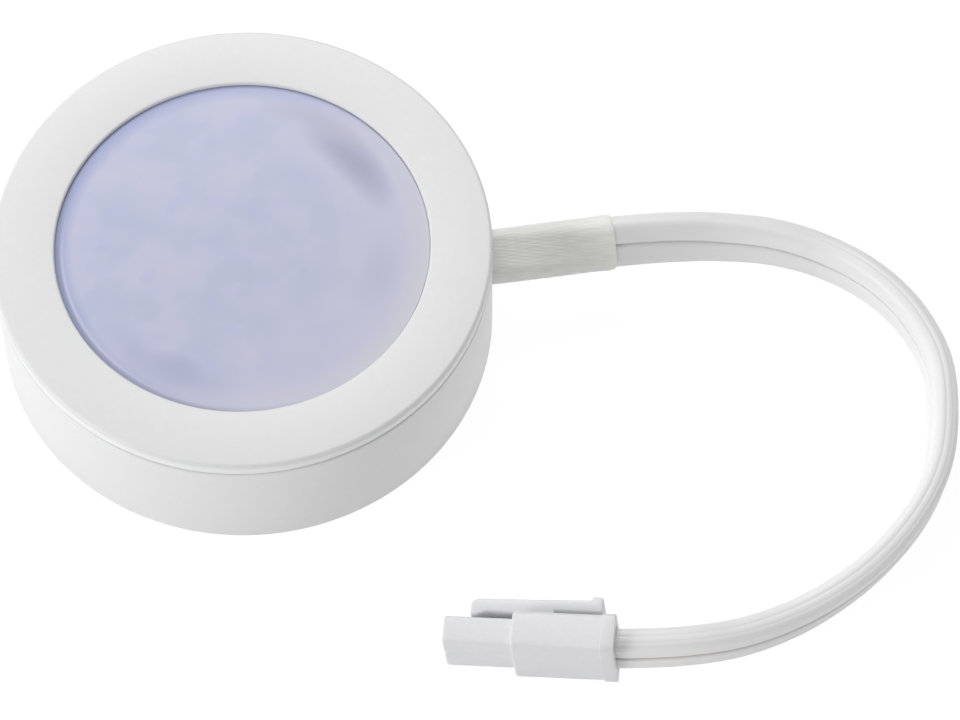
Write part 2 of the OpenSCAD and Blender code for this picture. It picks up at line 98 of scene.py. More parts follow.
# %% Sizes and the cord's route
# In mm and as in the solid model: head, lens, ring and skirt, cord, sleeve and plug.
HEAD_R = 35
HEAD_H = 21.25
FLANGE_Z = 19.45
OPENING_R = 26.35
LENS_R = 27.6
LENS_TOP = 20.65
LENS_BOTTOM = 18.65
BORE_R = 33
SKIRT_R = 29.25
SEAT_R = 27.75
SKIRT_Z = 15.05
CORD_AZ = math.radians(8.3)
CORD_Z = 8.5
CORD_W = 7.2
CORD_T = 3.6
CORD_END_R = 24.8
SLEEVE_START = 29.6
SLEEVE_END = 52.9
SLEEVE_ROLL = 50
SLEEVE_STEPS = 6
PLUG_FROM_WALL = (3.3, -59.2, 5.25)
PLUG_YAW = math.radians(174.6)
PLUG_TILT = math.radians(5.5)
PLUG_L = 14.3
MOUTH_DEPTH = 3.5

outlet = np.array([math.cos(CORD_AZ), math.sin(CORD_AZ), 0])
wall_at = HEAD_R * outlet
plug_at = wall_at + np.array(PLUG_FROM_WALL)
plug_dir = np.array([
    math.cos(PLUG_TILT) * math.cos(PLUG_YAW),
    math.cos(PLUG_TILT) * math.sin(PLUG_YAW),
    -math.sin(PLUG_TILT),
])


def straight_point(r):
    """A point of the cord's straight start, r mm from the head's axis, with its roll."""
    roll = SLEEVE_ROLL * max(0, r - SLEEVE_START) / (SLEEVE_END - SLEEVE_START)
    return (*(r * outlet + np.array([0, 0, CORD_Z])), roll)


sleeve_rs = [
    SLEEVE_START + (SLEEVE_END - SLEEVE_START) * k / SLEEVE_STEPS for k in range(SLEEVE_STEPS + 1)
]
cord_start = [straight_point(r) for r in [CORD_END_R] + sleeve_rs]
# (x, y, z, roll) from the head's wall.
cord_way = [
    (25.4, 3.8, 7.6, 55), (32.9, 4.7, 6.1, 64), (40.9, 4.5, 4.9, 72), (48.4, 2.5, 3.9, 79),
    (54.9, -1.6, 3.9, 83), (60.1, -7.4, 3.8, 85), (63.4, -14.9, 3.8, 85), (63.9, -23.1, 3.9, 83),
    (62.9, -31.1, 3.8, 84), (59.9, -38.1, 3.8, 84), (55, -44.7, 3.8, 83), (49.3, -50, 3.8, 84),
    (42.4, -54.5, 3.9, 87), (34.8, -58, 4.9, 89), (26.9, -60, 6.2, 90),
]
cord_run = [tuple(np.array(p) + np.append(wall_at, 0)) for p in cord_way]
cord_end = [(*(plug_at - back * plug_dir), 90) for back in (PLUG_L + 1, PLUG_L - MOUTH_DEPTH)]
print("route:", len(cord_start + cord_run + cord_end), "points")

# %% [markdown]
# ## Cord
# The lead is flat twin cord: two insulated cores side by side in one skin of soft vinyl, with a groove
# between them where they tear apart. One core carries fine ribs, which tell the wires apart by touch. A
# section is drawn once and carried along the route, which is how such a cord is extruded. A curve with a
# bevel object could do that too, but here the section rolls by its own angle at every point of the route.


# %% A section carried along a route
def alone(piece):
    """Make piece the only selected object and the active one."""
    bpy.ops.object.select_all(action="DESELECT")
    piece.select_set(True)
    bpy.context.view_layer.objects.active = piece


def blend(a, b, c, d, t):
    """A point between b and c on the smooth curve through a, b, c and d."""
    bend = (2 * a - 5 * b + 4 * c - d) + t * (3 * (b - c) + d - a)
    return b + 0.5 * t * ((c - a) + t * bend)


def fine_route(points, straight, steps):
    """The route's points with steps stations between each pair, smooth past the straight start."""
    p = [np.array(q, float) for q in points]
    out = []
    for i in range(len(p) - 1):
        for k in range(steps):
            t = k / steps
            if i < straight or i == len(p) - 2:
                out.append(p[i] * (1 - t) + p[i + 1] * t)
            else:
                out.append(blend(p[i - 1], p[i], p[i + 1], p[i + 2], t))
    return np.array(out + [p[-1]])


def swept(name, stations, section_at):
    """A closed tube in mm through stations (x, y, z, roll). section_at(i) gives its outline there."""
    rings = []
    last = len(stations) - 1
    for i, station in enumerate(stations):
        run = stations[min(i + 1, last), :3] - stations[max(i - 1, 0), :3]
        run /= np.linalg.norm(run)
        side = np.cross((0, 0, 1), run)
        side /= np.linalg.norm(side)
        up = np.cross(run, side)
        roll = math.radians(station[3])
        wide = side * math.cos(roll) + up * math.sin(roll)
        thick = np.cross(run, wide)
        outline = section_at(i)
        rings.append(station[:3] + outline[:, :1] * wide + outline[:, 1:] * thick)
    count = len(rings[0])
    verts = np.concatenate(rings + [stations[:1, :3], stations[-1:, :3]]) * MM
    faces = []
    for i in range(last):
        for k in range(count):
            n = (k + 1) % count
            faces.append((i * count + k, i * count + n, (i + 1) * count + n, (i + 1) * count + k))
    first_hub = (last + 1) * count
    for k in range(count):
        n = (k + 1) % count
        faces.append((first_hub, n, k))
        faces.append((first_hub + 1, last * count + k, last * count + n))
    mesh = bpy.data.meshes.new(name)
    mesh.from_pydata([tuple(v) for v in verts], [], faces)
    lengths = np.r_[0, np.cumsum(np.linalg.norm(np.diff(stations[:, :3], axis=0), axis=1))]
    outline = section_at(0)
    steps = np.linalg.norm(np.diff(np.vstack([outline, outline[:1]]), axis=0), axis=1)
    around = np.r_[0, np.cumsum(steps)]
    uv = mesh.uv_layers.new(name="cord_uv")
    at = 0
    for face in mesh.polygons:
        k = face.index % count
        i = face.index // count
        for corner, vertex in enumerate(face.vertices):
            if i < last:
                u = around[k + 1] if corner in (1, 2) else around[k]
                v = lengths[i + 1] if corner in (2, 3) else lengths[i]
            else:
                u, v = 0, 0
            uv.data[at].uv = (u * MM, v * MM)
            at += 1
    piece = bpy.data.objects.new(name, mesh)
    bpy.context.scene.collection.objects.link(piece)
    alone(piece)
    bpy.ops.object.mode_set(mode="EDIT")
    bpy.ops.mesh.select_all(action="SELECT")
    bpy.ops.mesh.normals_make_consistent(inside=False)
    bpy.ops.object.mode_set(mode="OBJECT")
    bpy.ops.object.shade_smooth()
    return piece


# %% The twin cord
# A lobe is a circle that is squared off: with 2 for LOBE_SQUARE it would be round. It is squarer towards the
# groove, so that only TEAR_GAP mm lie between the two there. The ribs' angles and width are in degrees.
LOBE_R = 1.82
LOBE_SWEEP = 150
LOBE_SQUARE = 2.9
INNER_SQUARE = 5
TEAR_GAP = 0.13
RIB_ANGLES = (4, -26, -58)
RIB_DEPTH = 0.08
RIB_WIDTH = 7
SECTION_POINTS = 128
ROUTE_STEPS = 12


def twin_section():
    """Outline of the twin cord in mm: two squarish lobes that meet in a groove."""
    outline = []
    centre = CORD_W / 2 - LOBE_R
    half = SECTION_POINTS // 2
    for lobe in (0, 1):
        for k in range(half):
            angle = -LOBE_SWEEP + 2 * LOBE_SWEEP * (k + 0.5) / half
            c, s = math.cos(math.radians(angle)), math.sin(math.radians(angle))
            square = LOBE_SQUARE if abs(angle) < 90 else INNER_SQUARE
            r = LOBE_R / (abs(c) ** square + abs(s) ** square) ** (1 / square)
            if lobe == 0:
                for rib in RIB_ANGLES:
                    r -= RIB_DEPTH * math.exp(-((angle - rib) / RIB_WIDTH * 2) ** 2)
            u = max(centre + r * c, TEAR_GAP)
            v = r * s * CORD_T / 2 / LOBE_R
            outline.append((u, v) if lobe == 0 else (-u, -v))
    return np.array(outline)


section = twin_section()
cord_stations = fine_route(cord_start + cord_run + cord_end, len(cord_start) - 1, ROUTE_STEPS)
cord = swept("flat_twin_cord", cord_stations, lambda i: section)

# %% [markdown]
# ## Sleeve
# The sleeve is woven from glass-fibre yarn and slipped over the cord to keep it from the hot housing. The
# yarns cross in a plain braid, nearly along the sleeve, so from a step away they read as fine lengthwise
# ribs. The weave is real relief here: each point of the tube is raised where a yarn passes over another.
# Single yarns, each bent over and under the others, would look the same and take many more faces.

# %% The braided sleeve
SLEEVE_W = 8.2
SLEEVE_H = 4.6
SLEEVE_CORNER = 2.2
YARNS = 40
BRAID_ANGLE = 9
YARN_RELIEF = 0.05
YARN_DIP = 0.45
UNDER_YARNS = 0.93
BODY_GROW = 1.02
END_ROUND = 0.7
END_DRAW = 0.1
FLARE = 0.035
FLARE_FROM_END = 1.3
FLARE_LENGTH = 1.2
SLEEVE_AROUND = 320
SLEEVE_RINGS = 220


def round_rect(width, height, corner, count):
    """Outline of a rectangle with round corners in mm, its points evenly spaced."""
    corners = []
    for x, y, start in ((1, 1, 0), (-1, 1, 90), (-1, -1, 180), (1, -1, 270)):
        for k in range(13):
            a = math.radians(start + 90 * k / 12)
            corners.append((
                x * (width / 2 - corner) + corner * math.cos(a),
                y * (height / 2 - corner) + corner * math.sin(a),
            ))
    loop = np.array(corners + corners[:1])
    far = np.r_[0, np.cumsum(np.linalg.norm(np.diff(loop, axis=0), axis=1))]
    at = np.linspace(0, far[-1], count, endpoint=False)
    return np.stack([np.interp(at, far, loop[:, 0]), np.interp(at, far, loop[:, 1])], 1), far[-1]


sleeve_outline, sleeve_round = round_rect(SLEEVE_W, SLEEVE_H, SLEEVE_CORNER, SLEEVE_AROUND)
sleeve_l = SLEEVE_END - SLEEVE_START
yarn_turn = math.tan(math.radians(BRAID_ANGLE)) / sleeve_round


def braided(i):
    """The sleeve's outline at station i, raised by the yarns, flared and then drawn in at its cut end."""
    along = sleeve_l * i / (SLEEVE_RINGS - 1)
    turn = np.arange(SLEEVE_AROUND) / SLEEVE_AROUND
    left = YARNS * (turn + yarn_turn * along)
    right = YARNS * (turn - yarn_turn * along)
    crossing = np.clip(2 * np.cos(math.pi * (left - right)), -1, 1)
    over = 0.5 + 0.5 * np.sin(math.pi * (left + right)) * crossing
    relief = np.maximum(
        np.abs(np.cos(math.pi * left)) * (1 - YARN_DIP + YARN_DIP * over),
        np.abs(np.cos(math.pi * right)) * (1 - YARN_DIP * over),
    )
    middle = sleeve_outline * UNDER_YARNS
    outward = sleeve_outline / np.linalg.norm(sleeve_outline, axis=1, keepdims=True)
    from_end = min((sleeve_l - along) / END_ROUND, 1)
    drawn_in = END_DRAW * (1 - math.sqrt(max(0, 1 - (1 - from_end) ** 2)))
    flared = FLARE * math.exp(-(((sleeve_l - along) - FLARE_FROM_END) / FLARE_LENGTH) ** 2)
    return middle * (BODY_GROW + flared - drawn_in) + outward * (relief[:, None] * YARN_RELIEF)


sleeve_stations = np.array([
    straight_point(SLEEVE_START + sleeve_l * i / (SLEEVE_RINGS - 1)) for i in range(SLEEVE_RINGS)
])
sleeve = swept("braided_sleeve", sleeve_stations, braided)
print("sleeve", round(sleeve_l, 1), "mm,", len(sleeve.data.polygons), "faces")

# %% [markdown]
# ## Turned pieces
# The bezel, the lens and the mount ring are round, so each is one outline spun about the head's axis. The
# outline is drawn as a chain of edges, and the spin operator sweeps it. A cylinder with bevels could give the
# same pieces, but in an outline each radius and groove is set where it belongs. Small radii on the corners
# catch the light, which is what makes a white piece on a white ground readable.


# %% Helpers that model with operators
SPIN_STEPS = 256
SMOOTH_ANGLE = math.radians(35)
SAME_POINT = 1e-6
SAME_RING = 2e-6


def settle():
    """Apply the active object's place, turn and scale to its mesh."""
    bpy.ops.object.transform_apply(location=True, rotation=True, scale=True)


def chain(name, points, closed=True):
    """A new object whose mesh is one chain of edges through points, in mm, left in edit mode."""
    bpy.ops.object.select_all(action="DESELECT")
    bpy.ops.mesh.primitive_plane_add(size=MM)
    piece = bpy.context.active_object
    piece.name = name
    piece.data.name = name
    bpy.ops.object.mode_set(mode="EDIT")
    bpy.ops.mesh.select_all(action="SELECT")
    bpy.ops.mesh.merge(type="CENTER")
    bpy.ops.transform.translate(value=Vector(points[0]) * MM)
    for a, b in zip(points, points[1:]):
        bpy.ops.mesh.extrude_region_move(TRANSFORM_OT_translate={"value": (Vector(b) - Vector(a)) * MM})
    if closed:
        back = (Vector(points[0]) - Vector(points[-1])) * MM
        bpy.ops.mesh.extrude_region_move(TRANSFORM_OT_translate={"value": back})
        bpy.ops.mesh.select_all(action="SELECT")
        bpy.ops.mesh.remove_doubles(threshold=SAME_POINT)
    return piece


def arc(x, z, r, start, end, count=6):
    """Points of an arc about (x, z), from angle start to end in degrees."""
    angles = [math.radians(start + (end - start) * k / count) for k in range(count + 1)]
    return [(x + r * math.cos(a), z + r * math.sin(a)) for a in angles]


def turned(name, outline, closed=True):
    """A closed solid: outline, a list of (radius, height) in mm, spun about the head's axis."""
    piece = chain(name, [(r, 0, z) for r, z in outline], closed)
    bpy.ops.mesh.select_all(action="SELECT")
    bpy.ops.mesh.spin(steps=SPIN_STEPS, angle=2 * math.pi, center=(0, 0, 0), axis=(0, 0, 1))
    bpy.ops.mesh.select_all(action="SELECT")
    bpy.ops.mesh.remove_doubles(threshold=SAME_RING)
    bpy.ops.mesh.normals_make_consistent(inside=False)
    bpy.ops.object.mode_set(mode="OBJECT")
    bpy.ops.object.shade_smooth_by_angle(angle=SMOOTH_ANGLE)
    return piece


def cut(piece, tool, operation="DIFFERENCE"):
    """Cut tool out of piece with a boolean, or weld it on with "UNION", and delete tool."""
    alone(piece)
    change = piece.modifiers.new("cut", "BOOLEAN")
    change.operation = operation
    change.solver = "EXACT"
    change.object = tool
    bpy.ops.object.modifier_apply(modifier=change.name)
    bpy.data.objects.remove(tool)


# %% [markdown]
# The bezel is the cast cap that holds the lens and that the eye takes for the whole light. Its rim ends in a
# lip that hangs low and leaves a dark seam half a millimetre wide above the ring, and a fine line just below
# its face marks where the die's halves met. Under the face, its skirt reaches into the head.

# %% The bezel
EDGE_R = 0.5
INNER_CUT = 0.3
UNDER_CUT = 0.35
SEAM_Z = 18.8
SEAM_GAP = 0.5
LIP_CLEAR = 0.1
LINE_CUT = 0.15
line_z = HEAD_H - EDGE_R - 2 * LINE_CUT
bezel_outline = (
    [(OPENING_R, LENS_TOP)]
    + arc(OPENING_R + INNER_CUT, HEAD_H - INNER_CUT, INNER_CUT, 180, 90, 4)
    + arc(HEAD_R - EDGE_R, HEAD_H - EDGE_R, EDGE_R, 90, 0, 8)
    + [(HEAD_R, line_z + LINE_CUT), (HEAD_R - LINE_CUT, line_z), (HEAD_R, line_z - LINE_CUT)]
    + arc(HEAD_R - UNDER_CUT, SEAM_Z + UNDER_CUT, UNDER_CUT, 0, -90, 4)
    + [(BORE_R + LIP_CLEAR, SEAM_Z), (BORE_R + LIP_CLEAR, FLANGE_Z)]
    + [(SKIRT_R, FLANGE_Z), (SKIRT_R, SKIRT_Z), (SEAT_R, SKIRT_Z), (SEAT_R, LENS_TOP)]
)
bezel = turned("bezel_cap", bezel_outline)
print("bezel", len(bezel.data.polygons), "faces")

# %% [markdown]
# The lens is a flat moulded disc that lies 0.6 mm below the face. A small groove runs round it just inside
# the opening, where it is clamped, and draws the thin dark ring round the lens. A cylinder could stand for a
# plain disc but not for the groove, so the lens is spun from an outline too.

# %% The lens
GROOVE_W = 0.12
GROOVE_DEPTH = 0.1
LENS_EDGE = 0.1
lens_outline = (
    [(0, LENS_BOTTOM), (LENS_R, LENS_BOTTOM)]
    + [(LENS_R, LENS_TOP - GROOVE_DEPTH), (OPENING_R - GROOVE_W, LENS_TOP - GROOVE_DEPTH)]
    + arc(OPENING_R - GROOVE_W - LENS_EDGE, LENS_TOP - LENS_EDGE, LENS_EDGE, 0, 90, 4)
    + [(0, LENS_TOP)]
)
lens = turned("frosted_lens", lens_outline, closed=False)
print("lens", len(lens.data.polygons), "faces")

# %% [markdown]
# The mount ring is the drum under the bezel, a moulded cup whose floor lies on the shelf or, here, the table.
# It is spun like the others, wall and floor in one outline.

# %% The mount ring
RING_FLOOR = 1.8
RING_OPENING_R = 20
RING_EDGE = 0.3
FLOOR_FILLET = 0.6
ring_outline = (
    arc(HEAD_R - RING_EDGE, RING_EDGE, RING_EDGE, -90, 0, 4)
    + arc(HEAD_R - UNDER_CUT, SEAM_Z - SEAM_GAP - UNDER_CUT, UNDER_CUT, 0, 90, 4)
    + arc(BORE_R + UNDER_CUT, SEAM_Z - SEAM_GAP - UNDER_CUT, UNDER_CUT, 90, 180, 4)
    + arc(BORE_R - FLOOR_FILLET, RING_FLOOR + FLOOR_FILLET, FLOOR_FILLET, 0, -90, 4)
    + [(RING_OPENING_R, RING_FLOOR), (RING_OPENING_R, 0)]
)
ring = turned("mount_drum", ring_outline)
print("mount ring before its cuts", len(ring.data.polygons), "faces")

# %% [markdown]
# The ring's floor has three countersunk holes for screws, and a slot in its wall lets the sleeve out. They are
# not round about the head's axis, so they are cut with booleans, as a mould's cores make them.

# %% The ring's slot and holes
HOLE_R = 1.9
HOLE_CIRCLE_R = 27
HOLE_TOOL_H = 6
HOLE_STEPS = 48
SINK = 1.6
SLOT_SIDE = 4.5
SLOT_LOW = 5.45
SLOT_R = 34
SLOT_DEEP = 6
SLOT_TALL = 16

bpy.ops.object.select_all(action="DESELECT")
bpy.ops.mesh.primitive_cube_add(size=1)
slot_tool = bpy.context.active_object
slot_tool.scale = (SLOT_DEEP * MM, 2 * SLOT_SIDE * MM, SLOT_TALL * MM)
slot_tool.rotation_euler = (0, 0, CORD_AZ)
slot_tool.location = Vector((SLOT_R * outlet[0], SLOT_R * outlet[1], SLOT_LOW + SLOT_TALL / 2)) * MM
settle()
cut(ring, slot_tool)
for k in range(3):
    turn = CORD_AZ + math.radians(60 + 120 * k)
    place = Vector((HOLE_CIRCLE_R * math.cos(turn), HOLE_CIRCLE_R * math.sin(turn), 0)) * MM
    bpy.ops.object.select_all(action="DESELECT")
    bpy.ops.mesh.primitive_cylinder_add(
        vertices=HOLE_STEPS, radius=HOLE_R * MM, depth=HOLE_TOOL_H * MM, location=place,
    )
    settle()
    cut(ring, bpy.context.active_object)
    bpy.ops.object.select_all(action="DESELECT")
    bpy.ops.mesh.primitive_cone_add(
        vertices=HOLE_STEPS, radius1=HOLE_R * MM, radius2=(HOLE_R + SINK) * MM, depth=SINK * MM,
        location=place + Vector((0, 0, RING_FLOOR * MM)),
    )
    settle()
    cut(ring, bpy.context.active_object)
alone(ring)
bpy.ops.object.shade_smooth_by_angle(angle=SMOOTH_ANGLE)
print("mount ring", len(ring.data.polygons), "faces")

# %% [markdown]
# ## Plug
# The plug is moulded nylon: a block that the wires enter from behind, two silos in front with a contact in
# each, and a latch lever on one side with a hook at its nose and a thumb step at its tail. It is modelled
# lying straight, with its shoulder at the origin, and then laid where the solid plug lies.


# %% Helpers for the plug
def prism(name, outline, thickness, z):
    """A closed solid: outline, a list of (x, y) in mm, raised from height z by thickness."""
    piece = chain(name, [(x, y, z) for x, y in outline])
    bpy.ops.mesh.select_all(action="SELECT")
    bpy.ops.mesh.edge_face_add()
    bpy.ops.mesh.extrude_region_move(TRANSFORM_OT_translate={"value": (0, 0, thickness * MM)})
    bpy.ops.mesh.select_all(action="SELECT")
    bpy.ops.mesh.normals_make_consistent(inside=False)
    bpy.ops.object.mode_set(mode="OBJECT")
    return piece


def round_edges(piece, chosen, width, segments):
    """Round the edges of piece for which chosen(a, b) is true of their ends, by width in mm."""
    bpy.ops.object.mode_set(mode="EDIT")
    bpy.ops.mesh.select_mode(type="EDGE")
    bpy.ops.mesh.select_all(action="DESELECT")
    bpy.ops.object.mode_set(mode="OBJECT")
    for edge in piece.data.edges:
        a, b = (piece.data.vertices[v].co for v in edge.vertices)
        edge.select = chosen(a, b)
    bpy.ops.object.mode_set(mode="EDIT")
    bpy.ops.mesh.bevel(offset=width * MM, segments=segments, affect="EDGES")
    bpy.ops.mesh.select_mode(type="VERT")
    bpy.ops.object.mode_set(mode="OBJECT")


def bar(name, x0, x1, width, height, z=0, corner=0.4, end=0.0):
    """A bar along X in mm, centred on Y and on height z, with round long edges and rounded ends."""
    bpy.ops.object.select_all(action="DESELECT")
    bpy.ops.mesh.primitive_cube_add(size=1)
    piece = bpy.context.active_object
    piece.name = name
    piece.scale = Vector((x1 - x0, width, height)) * MM
    piece.location = Vector(((x0 + x1) / 2, 0, z)) * MM
    settle()
    if corner > 0:
        round_edges(piece, lambda a, b: abs(a.x - b.x) > 1e-6, corner, 6)
    if end > 0:
        round_edges(piece, lambda a, b: abs(a.x - b.x) < 1e-6, end, 4)
    return piece


def flare(piece, x, grow):
    """Widen the ends of piece that lie behind x, in mm, by the factors grow in Y and Z."""
    for vertex in piece.data.vertices:
        vertex.select = vertex.co.x < x * MM
    alone(piece)
    bpy.ops.object.mode_set(mode="EDIT")
    bpy.ops.transform.resize(value=(1, *grow), center_override=(0, 0, 0))
    bpy.ops.object.mode_set(mode="OBJECT")


# %% The plug's block and silos
PLUG_W = 5.7
PLUG_H = 10.5
BLOCK_CORNER = 1.1
RIM_L = 1.9
RIM_FLARE = 0.34
RIM_INSET = 0.02
RIM_END = 0.12
BLOCK_END = 0.45
SILO_L = 9.5
SILO_W = 4.1
SILO_GAP = 0.25
SILO_CORNERS = {1: 0.6, -1: 0.9}
SILO_END = 0.35
PITCH = 4.2

plug = bar("plug_body", -PLUG_L, 0, PLUG_W, PLUG_H, corner=BLOCK_CORNER, end=BLOCK_END)
rim = bar(
    "mouth_rim", -PLUG_L, RIM_L - PLUG_L, PLUG_W - RIM_INSET, PLUG_H - RIM_INSET,
    corner=BLOCK_CORNER, end=RIM_END,
)
flare(rim, 0.2 - PLUG_L, (1 + RIM_FLARE / PLUG_W, 1 + RIM_FLARE / PLUG_H))
cut(plug, rim, "UNION")
for side, corner in SILO_CORNERS.items():
    cut(plug, bar(
        "silo", -1, SILO_L, SILO_W, PITCH - SILO_GAP, z=side * PITCH / 2, corner=corner, end=SILO_END,
    ), "UNION")
print("block and silos", len(plug.data.polygons), "faces")

# %% [markdown]
# The latch lever is moulded on with the block and hooks over the socket that the plug goes into. Its outline
# runs from its root round the thumb step at its tail and the nose to the root again. It is the same at every
# height, so it is drawn once and raised to a solid.

# %% The latch lever
LEVER_GAP = 1.05
LEVER_T = 1.85
LEVER_W = 6
LEVER_EDGE = 0.25
LEVER_SLANT = 0.5
LEVER_REAR = 2.1
LEVER_NOSE = 6.1
STEM_BACK = -5.5
STEM_FRONT = -0.4
STEM_TOE = 0.6
ROOT_DEPTH = 0.4
TAIL_R = 0.3
STEP_R = 0.5
STEP_L = 1.2
NOSE_R = 1.1
HOOK_R = 0.5
HOOK_LIFT = 0.2
HOOK_L = 2.1

lever_in = PLUG_W / 2 + LEVER_GAP
lever_out = lever_in + LEVER_T
nose_in = lever_in - LEVER_SLANT
nose_out = lever_out - LEVER_SLANT
tail = -PLUG_L + LEVER_REAR
root = ROOT_DEPTH - PLUG_W / 2
lever_outline = (
    [(STEM_BACK, root), (STEM_BACK, -lever_in)]
    + arc(tail + TAIL_R, -lever_in - TAIL_R, TAIL_R, 90, 180, 3)
    + arc(tail + STEP_R, -lever_out, STEP_R, 180, 270, 4)
    + arc(tail + STEP_L, -lever_out, STEP_R, 270, 360, 4)
    + arc(LEVER_NOSE - NOSE_R, NOSE_R - nose_out, NOSE_R, 270, 360, 6)
    + arc(LEVER_NOSE - HOOK_R, HOOK_LIFT - nose_in, HOOK_R, 0, 90, 4)
    + [(LEVER_NOSE - HOOK_L, -nose_in), (STEM_FRONT - STEM_TOE, -nose_in), (STEM_FRONT, root)]
)
lever = prism("latch_lever", lever_outline, LEVER_W, -LEVER_W / 2)
round_edges(lever, lambda a, b: abs(a.z - b.z) < 1e-6, LEVER_EDGE, 3)
cut(plug, lever, "UNION")
print("with the lever", len(plug.data.polygons), "faces")

# %% [markdown]
# The cord goes into a mouth at the back, and a square way for a contact runs through each silo. They are cut
# last, as the mould's cores make them. Then all edges that are still sharp get a small bevel, and the plug is
# laid on the table, nose down, because the stiff cord holds its back up.

# %% The plug's openings and its place
CONTACT_W = 2.5
MOUTH_PLAY = 0.3
TOOL_PAST = 2
SOFT_EDGE = 0.16
SHARP_ANGLE = math.radians(40)

cut(plug, bar(
    "mouth", -PLUG_L - 1, -PLUG_L + MOUTH_DEPTH, CORD_T + MOUTH_PLAY, CORD_W + MOUTH_PLAY, corner=0,
))
for side in (1, -1):
    cut(plug, bar(
        "contact_way", -PLUG_L - TOOL_PAST, SILO_L + TOOL_PAST, CONTACT_W, CONTACT_W,
        z=side * PITCH / 2, corner=0,
    ))
alone(plug)
soften = plug.modifiers.new("soft_edges", "BEVEL")
soften.width = SOFT_EDGE * MM
soften.segments = 2
soften.limit_method = "ANGLE"
soften.angle_limit = SHARP_ANGLE
soften.use_clamp_overlap = True
bpy.ops.object.modifier_apply(modifier=soften.name)
plug_turn = Matrix.Rotation(PLUG_YAW, 4, "Z") @ Matrix.Rotation(PLUG_TILT, 4, "Y")
plug.matrix_world = Matrix.Translation(Vector(plug_at) * MM) @ plug_turn
settle()
bpy.ops.object.shade_smooth_by_angle(angle=SMOOTH_ANGLE)
print("plug", len(plug.data.polygons), "faces")

# %% [markdown]
# ## Finishes
# Each material starts from what the real one is and how its surface was made. A finish could be painted as a
# picture, but one that is worked out by nodes stays sharp from near and has no seams. Colours are written as
# they look on a screen and turned to linear light by one function. Another adds a node.

# %% Colour and node helpers
MATH = "ShaderNodeMath"
MIX = "ShaderNodeMix"
NOISE = "ShaderNodeTexNoise"
MIX_SHADER = "ShaderNodeMixShader"


def linear(hex_colour):
    """An sRGB colour such as "E6E6E6" as linear RGBA."""
    channels = [int(hex_colour[i:i + 2], 16) / 255 for i in (0, 2, 4)]
    return tuple(c / 12.92 if c <= 0.04045 else ((c + 0.055) / 1.055) ** 2.4 for c in channels) + (1.0,)


def add(tree, kind, values):
    """Add a node of kind to tree and return it.

    values maps the name or number of an input to its value, or to the node or socket that feeds it. Other
    names are settings, and stops are a ramp's colours as (position, sRGB hex).
    """
    new = tree.nodes.new(kind)
    for name, value in values.items():
        if isinstance(value, bpy.types.Node):
            value = value.outputs[0]
        if name == "stops":
            elements = new.color_ramp.elements
            for element, (position, colour) in ((elements[0], value[0]), (elements[1], value[-1])):
                element.position, element.color = position, linear(colour)
            for position, colour in value[1:-1]:
                elements.new(position).color = linear(colour)
        elif isinstance(value, bpy.types.NodeSocket):
            tree.links.new(value, new.inputs[name])
        elif isinstance(name, int) or name in new.inputs:
            new.inputs[name].default_value = value
        else:
            setattr(new, name, value)
    return new


print("E6E6E6 in linear light:", [round(c, 3) for c in linear("E6E6E6")])

# %% [markdown]
# Most finishes here are a fine mottling of two near colours with a shallow relief that follows it, which is
# how light comes back from moulded, cast and coated surfaces. One helper makes the material, one lays colour
# and relief on it, and one does that with a noise of a given grain.


# %% Helpers for a finish
def surface(name, values):
    """A new material, its tree and its Principled shader, whose inputs are set from values."""
    material = bpy.data.materials.new(name)
    material.use_nodes = True
    tree = material.node_tree
    tree.nodes.clear()
    shader = add(tree, "ShaderNodeBsdfPrincipled", values)
    add(tree, "ShaderNodeOutputMaterial", {"Surface": shader})
    return material, tree, shader


def coat(tree, shader, noise, stops, bump_mm, strength):
    """Colour the shader by a noise, with a relief that follows it. Returns the colour's node."""
    colour = add(tree, "ShaderNodeValToRGB", {"Fac": noise, "stops": stops})
    bump = add(tree, "ShaderNodeBump", {"Strength": strength, "Distance": bump_mm * MM, "Height": noise})
    tree.links.new(colour.outputs["Color"], shader.inputs["Base Color"])
    tree.links.new(bump.outputs["Normal"], shader.inputs["Normal"])
    return colour


def grain(tree, shader, colours, grain_mm, bump_mm, strength):
    """Coat the shader with a mottling of two hexes of grain_mm, on Object coordinates."""
    place = add(tree, "ShaderNodeTexCoord", {}).outputs["Object"]
    noise = add(tree, NOISE, {"Scale": 1 / (grain_mm * MM), "Detail": 4.0, "Vector": place})
    return coat(tree, shader, noise, [(0.3, colours[0]), (0.7, colours[1])], bump_mm, strength)


# %% [markdown]
# Where a finish changes with its place on the piece, a few Math nodes work out how far a point lies from the
# head's axis and on which side, and painted light and shade are laid over the base colour there.

# %% Helpers for a pattern that follows the piece
PATCH_FADE = 1.5
SIDE_FADE = 1.6


def polar(tree):
    """A point's distance from the head's axis in mm, its azimuth in radians, and its Object coordinates."""
    place = add(tree, "ShaderNodeTexCoord", {}).outputs["Object"]
    split = add(tree, "ShaderNodeSeparateXYZ", {"Vector": place})
    flat = add(tree, "ShaderNodeCombineXYZ", {"X": split.outputs["X"], "Y": split.outputs["Y"], "Z": 0.0})
    far = add(tree, "ShaderNodeVectorMath", {"operation": "LENGTH", 0: flat})
    radius = add(tree, MATH, {"operation": "DIVIDE", 0: far.outputs["Value"], 1: MM})
    azimuth = add(tree, MATH, {"operation": "ARCTAN2", 0: split.outputs["Y"], 1: split.outputs["X"]})
    return radius, azimuth, place


